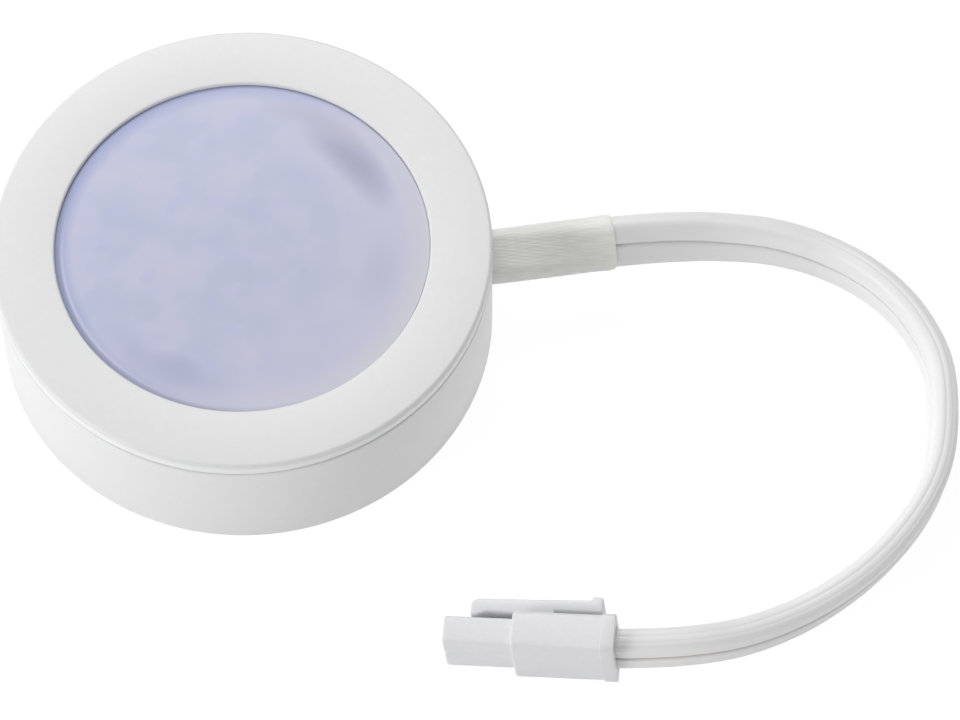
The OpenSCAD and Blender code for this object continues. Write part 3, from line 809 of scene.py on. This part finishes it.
def arc_patch(tree, radius, azimuth, r, half_width, middle, half_angle):
    """1 in the middle of a patch along an arc and 0 outside it, with sizes in mm and angles in degrees."""
    off = add(tree, MATH, {"operation": "SUBTRACT", 0: radius, 1: r})
    across = add(tree, MATH, {"operation": "DIVIDE", 0: off, 1: half_width})
    turn = add(tree, MATH, {"operation": "SUBTRACT", 0: azimuth, 1: math.radians(middle)})
    short_turn = add(tree, MATH, {"operation": "WRAP", 0: turn, 1: math.pi, 2: -math.pi})
    along = add(tree, MATH, {"operation": "DIVIDE", 0: short_turn, 1: math.radians(half_angle)})
    across_2 = add(tree, MATH, {"operation": "MULTIPLY", 0: across, 1: across})
    along_2 = add(tree, MATH, {"operation": "MULTIPLY", 0: along, 1: along})
    both = add(tree, MATH, {"operation": "ADD", 0: across_2, 1: along_2})
    inside = add(tree, MATH, {"operation": "SUBTRACT", "use_clamp": True, 0: 1.0, 1: both})
    return add(tree, MATH, {"operation": "POWER", 0: inside, 1: PATCH_FADE})


def rise(tree, length, start, end):
    """0 where length is at most start and 1 where it is at least end, all in mm."""
    past = add(tree, MATH, {"operation": "SUBTRACT", 0: length, 1: start})
    return add(tree, MATH, {"operation": "DIVIDE", "use_clamp": True, 0: past, 1: end - start})


def facing(tree, azimuth, side):
    """1 on the side that lies at an azimuth of side degrees, falling to 0 on the opposite one."""
    turn = add(tree, MATH, {"operation": "SUBTRACT", 0: azimuth, 1: math.radians(side)})
    towards = add(tree, MATH, {"operation": "COSINE", 0: turn})
    share = add(tree, MATH, {"operation": "MULTIPLY_ADD", 0: towards, 1: 0.5, 2: 0.5})
    return add(tree, MATH, {"operation": "POWER", 0: share, 1: SIDE_FADE})


# %% [markdown]
# The bezel is die-cast metal with a satin white powder coat. The powder melts into a film with a very slight
# orange peel about a millimetre across, which breaks up the highlight without being seen as bumps. The narrow
# land between the rim's two edges is painted whiter. This painted light stands in for the light that a rim
# side drafted to face upward would catch.

# %% Powder coat
# The painted light band's lower and upper border, each from where it starts to where it is full.
PAINTED_LIGHT_LOW = (18.9, 19.2)
PAINTED_LIGHT_HIGH = (20.2, 20.5)

powder_coat, tree, shader = surface("white_powder_coat", {"Roughness": 0.42, "IOR": 1.5})
film = grain(tree, shader, ("E4E4E5", "E6E6E6"), 1.1, 0.008, 0.2)
place = add(tree, "ShaderNodeTexCoord", {}).outputs["Object"]
split = add(tree, "ShaderNodeSeparateXYZ", {"Vector": place})
height = add(tree, MATH, {"operation": "DIVIDE", 0: split.outputs["Z"], 1: MM})
above, below = (rise(tree, height, *border) for border in (PAINTED_LIGHT_LOW, PAINTED_LIGHT_HIGH))
# Painted light: the rim's side band between these borders is painted whiter.
in_painted_light = add(tree, MATH, {"operation": "SUBTRACT", "use_clamp": True, 0: above, 1: below})
coated = add(tree, MIX, {"data_type": "RGBA", 0: in_painted_light, 6: film, 7: linear("F3F3F4")})
tree.links.new(coated.outputs[2], shader.inputs["Base Color"])
print("powder coat:", len(tree.nodes), "nodes")

# %% [markdown]
# The ring is moulded polycarbonate and has the satin of a finely etched mould. The plug is nylon in its own
# white, which is milky with a trace of blue. Both have a grain too shallow to see as such: it only softens
# the edge of the highlight.

# %% Moulded ring and nylon
moulded_white, tree, shader = surface("satin_moulded_polycarbonate", {"Roughness": 0.36, "IOR": 1.58})
grain(tree, shader, ("E8E8E9", "EAEAEA"), 0.9, 0.006, 0.15)

nylon, tree, shader = surface("natural_white_nylon", {"Roughness": 0.38, "IOR": 1.53})
grain(tree, shader, ("E0E0E3", "E3E3E6"), 0.9, 0.006, 0.15)
print("moulded:", moulded_white.name, "and", nylon.name)

# %% [markdown]
# The lens is a frosted plastic diffuser. Unlit, it shows the cool blue-white of its diffusing pigment, in
# soft clouds several millimetres across where the LEDs and the reflector behind it are nearer or further.
# Towards the right it is paler, most near its rim, where the white bezel shines through its edge: this is
# painted light. Near the rim on the upper left it has a blue painted shadow of the bezel's lip. Painted shade
# darkens patches over the gaps in the reflector's rim and over the cord's clamp, where little light comes
# back, and a thin lighter line lies along the rim at the lower left. A lens that light really passes through
# would need many times the render's time, so its clouds, its painted light and its painted shade are drawn on
# it.

# %% Frosted lens
CLOUD_MM = 7
BLUE_MM = 4.5
BLUE_START = 0.55
BLUE_GAIN = 2.5
# The clouds' hues from their dark parts to their light ones.
CLOUD_HUES = [(0.3, "B7BDD8"), (0.42, "B9BFD6"), (0.5, "BDC1D9"), (0.58, "C0C2DA"), (0.7, "C4C3DA")]

frosted, tree, shader = surface("frosted_diffuser_lens", {"Roughness": 0.5, "IOR": 1.49})
radius, azimuth, place = polar(tree)
clouds = add(tree, NOISE, {"Scale": 1 / (CLOUD_MM * MM), "Detail": 2.0, "Roughness": 0.5, "Vector": place})
hues = add(tree, "ShaderNodeValToRGB", {"Fac": clouds, "stops": CLOUD_HUES})
blue = add(tree, NOISE, {"Scale": 1 / (BLUE_MM * MM), "Detail": 1.0, "Vector": place})
bluest = add(tree, MATH, {"operation": "SUBTRACT", "use_clamp": True, 0: blue, 1: BLUE_START})
bluish = add(tree, MATH, {"operation": "MULTIPLY", 0: bluest, 1: BLUE_GAIN})
colour = add(tree, MIX, {"data_type": "RGBA", 0: bluish, 6: hues, 7: linear("B4BADB")}).outputs[2]
print("lens: clouds of", CLOUD_MM, "mm with bluer ones of", BLUE_MM, "mm")

# %% Painted light and shade of the lens
SPOT_SHARE = 0.8
# Painted light and shade towards the rim: the radii in mm where they start and are full, their side in
# degrees, share, colour. The first two are painted light on the right, the last two a painted shadow of the
# bezel's lip on the upper left.
RIM_LIGHT_AND_SHADE = (
    (6.0, 22.0, -15, 0.85, "CDCCE1"), (22.5, 25.4, -20, 0.9, "D4D4DD"),
    (23.8, 25.4, 150, 1.0, "A5ACD2"), (25.5, 25.9, 165, 0.8, "A0A7C4"),
)
# Painted shade patches: radius and half width in mm, azimuth and half angle in degrees, colour. The last is a
# thin lighter line.
SHADE_PATCHES_AND_LINE = (
    (20.8, 3.5, 42, 29, "A1A3BF"), (23.0, 2.4, 62, 26, "B9B8CE"), (21.3, 2.8, 246, 12, "A8ACCB"),
    (22.5, 3.4, 240, 34, "B3B7D2"), (19.5, 3.8, -12, 22, "BDC0D6"), (25.3, 0.35, 208, 45, "CFD2EA"),
)

# Painted light on the right side and a painted shadow of the bezel's lip on the upper left.
for start, end, side, share, shade in RIM_LIGHT_AND_SHADE:
    near_rim, on_side = rise(tree, radius, start, end), facing(tree, azimuth, side)
    both = add(tree, MATH, {"operation": "MULTIPLY", 0: near_rim, 1: on_side})
    amount = add(tree, MATH, {"operation": "MULTIPLY", 0: both, 1: share})
    colour = add(tree, MIX, {"data_type": "RGBA", 0: amount, 6: colour, 7: linear(shade)}).outputs[2]
# Painted shade over the reflector's gaps and the cord's clamp, and a thin lighter line at the rim.
for *patch, shade in SHADE_PATCHES_AND_LINE:
    spot = arc_patch(tree, radius, azimuth, *patch)
    amount = add(tree, MATH, {"operation": "MULTIPLY", 0: spot, 1: SPOT_SHARE})
    colour = add(tree, MIX, {"data_type": "RGBA", 0: amount, 6: colour, 7: linear(shade)}).outputs[2]
tree.links.new(colour, shader.inputs["Base Color"])
print("lens:", len(RIM_LIGHT_AND_SHADE), "rim tints and", len(SHADE_PATCHES_AND_LINE), "patches")

# %% [markdown]
# The cord's skin is soft satin vinyl, extruded through a die, so it has faint drawing lines along its length
# and almost no grain across. Towards the plug a brownish painted shade darkens the groove between the cores.
# The pattern follows the piece's own UV map, which counts metres round and along it.

# %% Extruded vinyl
# How far the groove's painted shade reaches up its walls, and from where to where along the cord it sets in,
# in mm.
GROOVE_SHADE_REACH = 1.2
GROOVE_SHADE_SPAN = (85, 130)


def streaks(tree, wide_mm, long_mm, detail):
    """Noise drawn out along the piece. Returns the node of the piece's UV map and the noise."""
    lanes = add(tree, "ShaderNodeUVMap", {"uv_map": "cord_uv"})
    per_metre = (1 / (wide_mm * MM), 1 / (long_mm * MM), 1)
    stretch = add(tree, "ShaderNodeVectorMath", {"operation": "MULTIPLY", 0: lanes, 1: per_metre})
    return lanes, add(tree, NOISE, {"Scale": 1.0, "Detail": detail, "Vector": stretch})


vinyl, tree, shader = surface("extruded_white_vinyl", {"Roughness": 0.42, "IOR": 1.53})
lanes, drawn = streaks(tree, 0.35, 14, 3.0)
tone = coat(tree, shader, drawn, [(0.3, "F0F0F0"), (0.7, "F3F3F3")], 0.02, 0.1)
round_mm = float(np.linalg.norm(np.diff(np.vstack([section, section[:1]]), axis=0), axis=1).sum())
split = add(tree, "ShaderNodeSeparateXYZ", {"Vector": lanes})
half_turns = add(tree, MATH, {"operation": "DIVIDE", 0: split.outputs["X"], 1: round_mm / 2 * MM})
off_groove = add(tree, MATH, {"operation": "PINGPONG", 0: half_turns, 1: 0.5})
up_wall = add(tree, MATH, {"operation": "DIVIDE", 0: off_groove, 1: 2 * GROOVE_SHADE_REACH / round_mm})
in_groove = add(tree, MATH, {"operation": "SUBTRACT", "use_clamp": True, 0: 1.0, 1: up_wall})
along_mm = add(tree, MATH, {"operation": "DIVIDE", 0: split.outputs["Y"], 1: MM})
near_plug = rise(tree, along_mm, *GROOVE_SHADE_SPAN)
# Painted shade: a brownish darkening in the groove, setting in towards the plug.
groove_shade = add(tree, MATH, {"operation": "MULTIPLY", 0: in_groove, 1: near_plug})
skin = add(tree, MIX, {"data_type": "RGBA", 0: groove_shade, 6: tone, 7: linear("B2A69A")})
tree.links.new(skin.outputs[2], shader.inputs["Base Color"])
print("cord", round(round_mm, 1), "mm round")

# %% [markdown]
# The sleeve is bare glass yarn, varnished: greenish cream, and each yarn is a bundle of bright fibres. They
# are a hundredth of a millimetre thick, too fine to show, so they are drawn as streaks 0.28 mm wide.

# %% Glass yarn
glass_yarn, tree, shader = surface(
    "varnished_glass_braid", {"Roughness": 0.5, "IOR": 1.5, "Sheen Weight": 0.3, "Sheen Roughness": 0.4}
)
lanes, fibres = streaks(tree, 0.28, 3, 4.0)
coat(tree, shader, fibres, [(0.3, "F1F1EB"), (0.5, "F8F8F3"), (0.7, "FDFDFA")], 0.05, 0.4)
print("sleeve", round(float(sleeve_round), 1), "mm round")

# %% [markdown]
# The pieces inside are seen only when the head is pulled out of its ring, or from behind. They still get the
# finish that they would have. Their grain is finer than a pixel, so it is drawn a few times as coarse as it
# is.

# %% Finishes of the inner pieces
# Material slot: material, shader, the grain's two colours, grain and bump in mm, strength of the bump.
INNER_FINISHES = {
    # Even dull grey, with no clear highlight.
    "cast_aluminium": (
        "bead_blasted_casting", {"Metallic": 0.9, "Roughness": 0.55}, ("A2A4A8", "B4B6B9"), 0.35, 0.03, 0.5),
    # Bright, with long soft reflections from the rolls.
    "spring_steel": (
        "rolled_spring_steel", {"Metallic": 1.0, "Roughness": 0.28}, ("B0B0AE", "C2C2C0"), 0.5, 0.006, 0.2),
    # A little blue and more even than bare steel.
    "bright_steel": (
        "zinc_plated_steel", {"Metallic": 1.0, "Roughness": 0.32}, ("B9BBC0", "C9CACC"), 0.3, 0.006, 0.2),
    # Matt blue-grey, like putty.
    "silicone_pad": (
        "filled_silicone_pad", {"Roughness": 0.7}, ("8E97A6", "9CA4B2"), 0.4, 0.02, 0.4),
    # Glossy lacquer, as white as it can be made.
    "board": (
        "white_solder_mask", {"Roughness": 0.3, "IOR": 1.5}, ("E6E6E2", "EDEDEA"), 0.8, 0.006, 0.2),
    # Yellow, because the unlit resin takes the blue out of the light.
    "phosphor": (
        "phosphor_resin", {"Roughness": 0.25, "IOR": 1.53}, ("DDBE55", "E8CE6A"), 0.3, 0.008, 0.3),
    # Near black, with a grey bloom from its filler.
    "black_epoxy": (
        "moulded_black_epoxy", {"Roughness": 0.5, "IOR": 1.5}, ("232325", "303032"), 0.2, 0.01, 0.4),
    # The tan of a filled resin.
    "fuse_body": (
        "ceramic_filled_resin", {"Roughness": 0.5, "IOR": 1.5}, ("BFA67C", "CDB78F"), 0.3, 0.01, 0.3),
    # Thick glossy coat from dipping, deep blue.
    "blue_epoxy": (
        "dipped_blue_epoxy", {"Roughness": 0.22, "IOR": 1.5}, ("2A4688", "35539A"), 0.5, 0.01, 0.3),
    # Dull dark skin full of small cells.
    "gasket_foam": (
        "closed_cell_silicone_foam", {"Roughness": 0.85}, ("3B3B3D", "4A4A4C"), 0.15, 0.03, 0.6),
    # Chalky white that throws light back in all directions.
    "reflector_white": (
        "reflective_white_polycarbonate", {"Roughness": 0.55, "IOR": 1.58}, ("EDEDEC", "F2F2F1"),
        0.8, 0.006, 0.2),
    # Pale gold under a thin plating.
    "tinned_brass": (
        "plated_brass", {"Metallic": 1.0, "Roughness": 0.3}, ("C8B27E", "D6C496"), 0.25, 0.006, 0.3),
}
slot_finishes = {
    "white_plastic": moulded_white, "white_paint": powder_coat, "frosted_lens": frosted, "nylon": nylon,
    "lead_insulation": nylon, "glass_braid": nylon, "cord_pvc": nylon,
}
for slot, (name, values, colours, *sizes) in INNER_FINISHES.items():
    slot_finishes[slot], tree, shader = surface(name, values)
    grain(tree, shader, colours, *sizes)
print(len(INNER_FINISHES), "inner finishes")

# %% [markdown]
# The new pieces take the finishes that are seen. Every solid node takes the finish of its slot too, and the
# solid cord and sleeve, which the new ones stand for, take the nylon's, as they have no map for streaks.

# %% Give every piece its finish
new_finishes = {
    bezel: (powder_coat, "white_paint"),
    ring: (moulded_white, "white_plastic"),
    lens: (frosted, "frosted_lens"),
    plug: (nylon, "nylon"),
    cord: (vinyl, "cord_pvc"),
    sleeve: (glass_yarn, "glass_braid"),
}
for piece, (material, slot) in new_finishes.items():
    piece.data.materials.clear()
    piece.data.materials.append(material)
for part in frame["record"]["subparts"]:
    node = frame["nodes"][part["node"]]
    for material_slot in node.material_slots:
        material_slot.material = slot_finishes[part["material_slot"]]
print(len(slot_finishes), "finishes on", len(frame["nodes"]), "nodes")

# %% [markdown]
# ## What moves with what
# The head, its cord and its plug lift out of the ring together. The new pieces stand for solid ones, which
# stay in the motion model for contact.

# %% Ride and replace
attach(ring, "mount_ring")
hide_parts("mount_ring")
for piece, node in (
    (bezel, "bezel"), (lens, "lens"), (plug, "plug_housing"), (cord, "cord"), (sleeve, "sleeve"),
):
    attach(piece, "light_head")
    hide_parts(node)

# %% [markdown]
# ## Table and light
# The object lies on white in even studio light, kept at a level where a colour renders about as it is
# written. A large soft source stands to the front left, low enough to brighten the drum's left side more than
# its face. Weaker ones stand at the back left and low on the right, and one hangs close behind. The floor is
# white to the camera and still takes a faint shadow.

# %% Floor
# FLOOR_SHOWN is the glow's share in what the camera sees of the floor. The rest is paper that takes shadows.
FLOOR_M = 6
FLOOR_SHOWN = 0.86
FLOOR_GLOW = 1.09
bpy.ops.object.select_all(action="DESELECT")
bpy.ops.mesh.primitive_plane_add(size=FLOOR_M, location=(0, 0, 0))
floor = bpy.context.active_object
floor.name = "table"
floor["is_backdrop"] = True
paper = bpy.data.materials.new("white_table")
paper.use_nodes = True
tree = paper.node_tree
tree.nodes.clear()
matte = add(tree, "ShaderNodeBsdfDiffuse", {"Color": linear("EAEAEA")})
glow = add(tree, "ShaderNodeEmission", {"Color": linear("FFFFFF"), "Strength": FLOOR_GLOW})
rays = add(tree, "ShaderNodeLightPath", {}).outputs
seen = add(tree, MATH, {"operation": "MAXIMUM", 0: rays["Is Camera Ray"], 1: rays["Is Glossy Ray"]})
share = add(tree, MATH, {"operation": "MULTIPLY", 0: seen, 1: FLOOR_SHOWN})
mixed = add(tree, MIX_SHADER, {0: share, 1: matte, 2: glow})
add(tree, "ShaderNodeOutputMaterial", {"Surface": mixed})
floor.data.materials.append(paper)
print("table", FLOOR_M, "m wide")

# %% World and lamps
# The room's light on the object, and the white that the camera sees beyond the table.
ROOM_LIGHT = 0.385
BACKDROP = 1.0
AIM_AT = Vector((0.03, -0.015, 0))

scene = bpy.context.scene
scene.view_settings.view_transform = "Standard"
world = bpy.data.worlds.new("studio")
scene.world = world
world.use_nodes = True
tree = world.node_tree
tree.nodes.clear()
rays = add(tree, "ShaderNodeLightPath", {}).outputs
room = add(tree, "ShaderNodeBackground", {"Color": linear("FFFFFF"), "Strength": ROOM_LIGHT})
white = add(tree, "ShaderNodeBackground", {"Color": linear("FFFFFF"), "Strength": BACKDROP})
mixed = add(tree, MIX_SHADER, {0: rays["Is Camera Ray"], 1: room, 2: white})
add(tree, "ShaderNodeOutputWorld", {"Surface": mixed})


def softbox(name, at, size, watts):
    """A square area lamp at a point in metres, with its side in metres, aimed at the object."""
    light = bpy.data.lights.new(name, "AREA")
    light.size = size
    light.energy = watts
    lamp = bpy.data.objects.new(name, light)
    lamp.location = at
    lamp.rotation_euler = (AIM_AT - Vector(at)).to_track_quat("-Z", "Y").to_euler()
    scene.collection.objects.link(lamp)


softbox("front_left", (-0.75, -0.46, 0.45), 0.4, 4.85)
softbox("left_back", (-0.75, 0.35, 0.4), 0.3, 0.5)
softbox("behind", (-0.05, 0.42, 0.42), 0.3, 1.5)
softbox("right", (0.7, -0.3, 0.25), 0.3, 0.6)
print(len(bpy.data.lights), "lamps")

# %% Measure and finish
sizes = [[[float(x) for x in corner] for corner in box] for box in (cad_box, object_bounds())]
print("CAD box and visual box", sizes)
